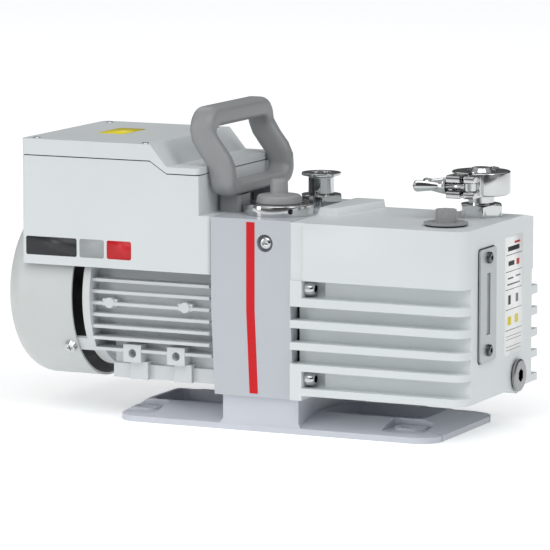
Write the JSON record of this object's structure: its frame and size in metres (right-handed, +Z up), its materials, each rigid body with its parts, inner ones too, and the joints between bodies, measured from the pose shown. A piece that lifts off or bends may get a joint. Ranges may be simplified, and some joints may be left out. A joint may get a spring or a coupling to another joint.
{
  "type": "rotary vane vacuum pump",
  "caption": "Direct-drive two-stage rotary vane vacuum pump with fan-cooled motor, electronics box, carry handle, finned oil case and small-flange ports on a dished base plate",
  "frame": {"origin": "on the plane of the base plate's underside, below the shaft, midway between the plate's front and back edges", "axes": "+X along the shaft from the motor towards the oil case, +Z up, -Y towards the operating side"},
  "size_m": [0.3886, 0.1456, 0.24],
  "materials": {
    "base_paint": "fine grey powder coat",
    "housing_paint": "light grey powder coat",
    "shell_paint": "pale grey powder coat, satin",
    "cowl_paint": "pale grey powder coat",
    "motor_paint": "grey paint over cast aluminium",
    "stripe_paint": "red enamel",
    "black_rubber": "moulded rubber",
    "grey_plastic": "moulded grey plastic",
    "black_plastic": "moulded black plastic",
    "white_plastic": "smooth white plastic",
    "polished_steel": "polished stainless steel",
    "brushed_steel": "turned stainless steel",
    "cast_alloy": "machined aluminium",
    "cast_iron_grey": "machined grey iron",
    "laminations": "stacked steel sheet",
    "copper_wire": "enamelled copper wire",
    "spider_red": "polyurethane",
    "vane_composite": "fibre composite",
    "window_glass": "clear glass"
  },
  "bodies": {
    "pump": {"base_plate": "base_paint", "base_feet": "black_rubber", "coupling_housing": "housing_paint", "housing_stripe": "stripe_paint", "ebox_housing": "shell_paint", "ebox_lid": "shell_paint", "panel_screws": "polished_steel", "power_inlet": "black_plastic", "run_capacitor": "white_plastic", "handle": "grey_plastic", "handle_blocks": "grey_plastic", "motor_frame": "motor_paint", "rear_endbell": "motor_paint", "stator_core": "laminations", "stator_windings": "copper_wire", "motor_bearings": "brushed_steel", "fan_cowl": "cowl_paint", "shaft_seal": "black_rubber", "inner_plate": "cast_iron_grey", "hv_stator": "cast_iron_grey", "mid_plate": "cast_iron_grey", "lv_stator": "cast_iron_grey", "outer_plate": "cast_iron_grey", "pump_bolts": "brushed_steel", "exhaust_valves": "brushed_steel", "inlet_port": "polished_steel", "ballast_ring": "polished_steel", "outlet_port": "polished_steel", "centring_ring": "brushed_steel", "blank_flange": "polished_steel", "clamp_right": "polished_steel", "clamp_pins": "polished_steel", "oil_case": "shell_paint", "gaskets": "black_rubber", "case_screws": "polished_steel", "sight_frame": "brushed_steel", "sight_glass": "window_glass", "sight_screws": "polished_steel"},
    "drive": {"motor_shaft": "brushed_steel", "motor_rotor": "laminations", "fan": "black_plastic", "motor_hub": "cast_alloy", "coupling_spider": "spider_red", "pump_hub": "cast_alloy", "pump_rotor": "brushed_steel", "vane_springs": "brushed_steel"},
    "hv_vane_upper": {"hv_vane_a": "vane_composite"},
    "hv_vane_lower": {"hv_vane_b": "vane_composite"},
    "lv_vane_upper": {"lv_vane_a": "vane_composite"},
    "lv_vane_lower": {"lv_vane_b": "vane_composite"},
    "ballast": {"ballast_knob": "grey_plastic"},
    "filler_ring": {"filler_seal": "black_rubber"},
    "filler": {"filler_plug": "grey_plastic"},
    "drain_ring": {"drain_seal": "black_rubber"},
    "drain": {"drain_plug": "polished_steel"},
    "rocker": {"power_rocker": "black_plastic"},
    "bolt": {"swing_bolt": "polished_steel"},
    "washer": {"clamp_washer": "polished_steel"},
    "nut": {"wing_nut": "polished_steel"},
    "clamp_jaw": {"clamp_left": "polished_steel"}
  },
  "joints": [
    {"name": "drive_spin", "type": "hinge", "parent": "pump", "child": "drive", "pos_m": [0, 0, 0.092], "axis": [1, 0, 0], "continuous": true},
    {"name": "hv_vane_a_slide", "type": "slide", "parent": "drive", "child": "hv_vane_upper", "axis": [0, 1, 0], "range_m": [0, 0.0024]},
    {"name": "hv_vane_b_slide", "type": "slide", "parent": "drive", "child": "hv_vane_lower", "axis": [0, 1, 0], "range_m": [-0.0024, 0]},
    {"name": "lv_vane_a_slide", "type": "slide", "parent": "drive", "child": "lv_vane_upper", "axis": [0, 1, 0], "range_m": [0, 0.0024]},
    {"name": "lv_vane_b_slide", "type": "slide", "parent": "drive", "child": "lv_vane_lower", "axis": [0, 1, 0], "range_m": [-0.0024, 0]},
    {"name": "ballast_turn", "type": "hinge", "parent": "pump", "child": "ballast", "pos_m": [-0.0115, -0.031, 0.17], "axis": [0, 0, 1], "range_deg": [0, 180]},
    {"name": "filler_lift", "type": "slide", "parent": "pump", "child": "filler_ring", "axis": [0, 0, 1], "range_m": [0, 0.009]},
    {"name": "filler_turn", "type": "hinge", "parent": "filler_ring", "child": "filler", "pos_m": [0.127, -0.0392, 0.165], "axis": [0, 0, 1], "range_deg": [0, 2160]},
    {"name": "drain_draw", "type": "slide", "parent": "pump", "child": "drain_ring", "axis": [1, 0, 0], "range_m": [0, 0.009]},
    {"name": "drain_turn", "type": "hinge", "parent": "drain_ring", "child": "drain", "pos_m": [0.157, 0.03, 0.0407], "axis": [1, 0, 0], "range_deg": [0, 2160]},
    {"name": "rocker_tilt", "type": "hinge", "parent": "pump", "child": "rocker", "pos_m": [-0.204, 0.015, 0.183], "axis": [0, 1, 0], "range_deg": [0, 20]},
    {"name": "bolt_swing", "type": "hinge", "parent": "pump", "child": "bolt", "pos_m": [0.1332, -0.008, 0.1853], "axis": [0, 0, 1], "range_deg": [0, 120]},
    {"name": "washer_draw", "type": "slide", "parent": "bolt", "child": "washer", "axis": [-1, 0, 0], "range_m": [0, 0.008]},
    {"name": "nut_turn", "type": "hinge", "parent": "washer", "child": "nut", "pos_m": [0.11, -0.008, 0.1853], "axis": [-1, 0, 0], "range_deg": [0, 2880]},
    {"name": "jaw_open", "type": "hinge", "parent": "pump", "child": "clamp_jaw", "pos_m": [0.129, 0.0486, 0.1853], "axis": [0, 0, -1], "range_deg": [0, 7]}
  ],
  "couplings": [
    {"joint": "filler_lift", "follows": "filler_turn", "m_per_rad": 0.0002387},
    {"joint": "drain_draw", "follows": "drain_turn", "m_per_rad": 0.0002387},
    {"joint": "washer_draw", "follows": "nut_turn", "m_per_rad": 0.000159},
    {"joint": "jaw_open", "follows": "nut_turn", "ratio": 0.00243}
  ]
}
